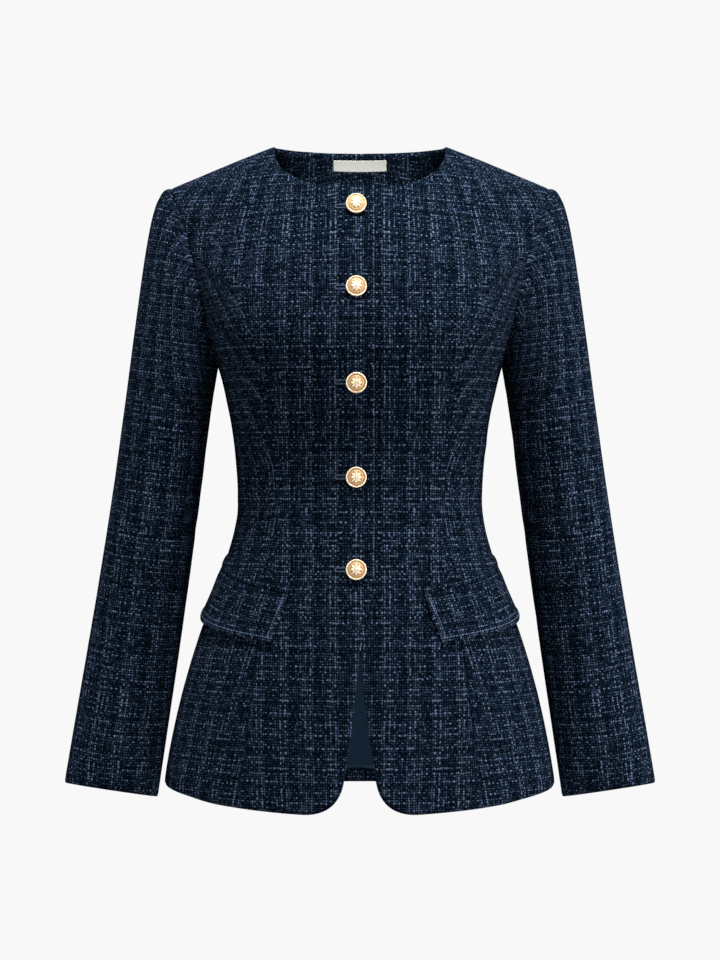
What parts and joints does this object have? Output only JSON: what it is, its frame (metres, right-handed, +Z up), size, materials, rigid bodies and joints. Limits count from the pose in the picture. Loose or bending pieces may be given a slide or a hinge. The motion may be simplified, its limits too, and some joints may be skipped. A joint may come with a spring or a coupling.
{
  "type": "collarless blazer",
  "caption": "Fitted collarless tweed blazer with a round neck, long set-in sleeves, slanted pocket flaps, gilt shank buttons and a flared, cut-away hem.",
  "frame": {"origin": "midway between the two neck points of the shoulder seams, where a hanger or a form holds the blazer", "axes": "+Z up along the body, -Y out of the front, +X towards the wearer's left"},
  "size_m": [0.5866, 0.2615, 0.6532],
  "materials": {
    "tweed": "navy boucle tweed, matte",
    "lining": "navy satin lining",
    "label": "off-white woven satin, left bare",
    "gilt": "polished pale gilt"
  },
  "bodies": {
    "root": {"front_right": "tweed", "front_left": "tweed", "side_right": "tweed", "side_left": "tweed", "back": "tweed", "sleeve_right": "tweed", "sleeve_left": "tweed", "flap_right": "tweed", "flap_left": "tweed", "pocket_jet_right": "tweed", "pocket_jet_left": "tweed", "back_neck_facing": "tweed", "back_hem_facing": "tweed", "back_lining": "lining", "label": "label", "button_1": "gilt", "button_2": "gilt", "button_3": "gilt", "button_4": "gilt", "button_5": "gilt"}
  },
  "joints": []
}
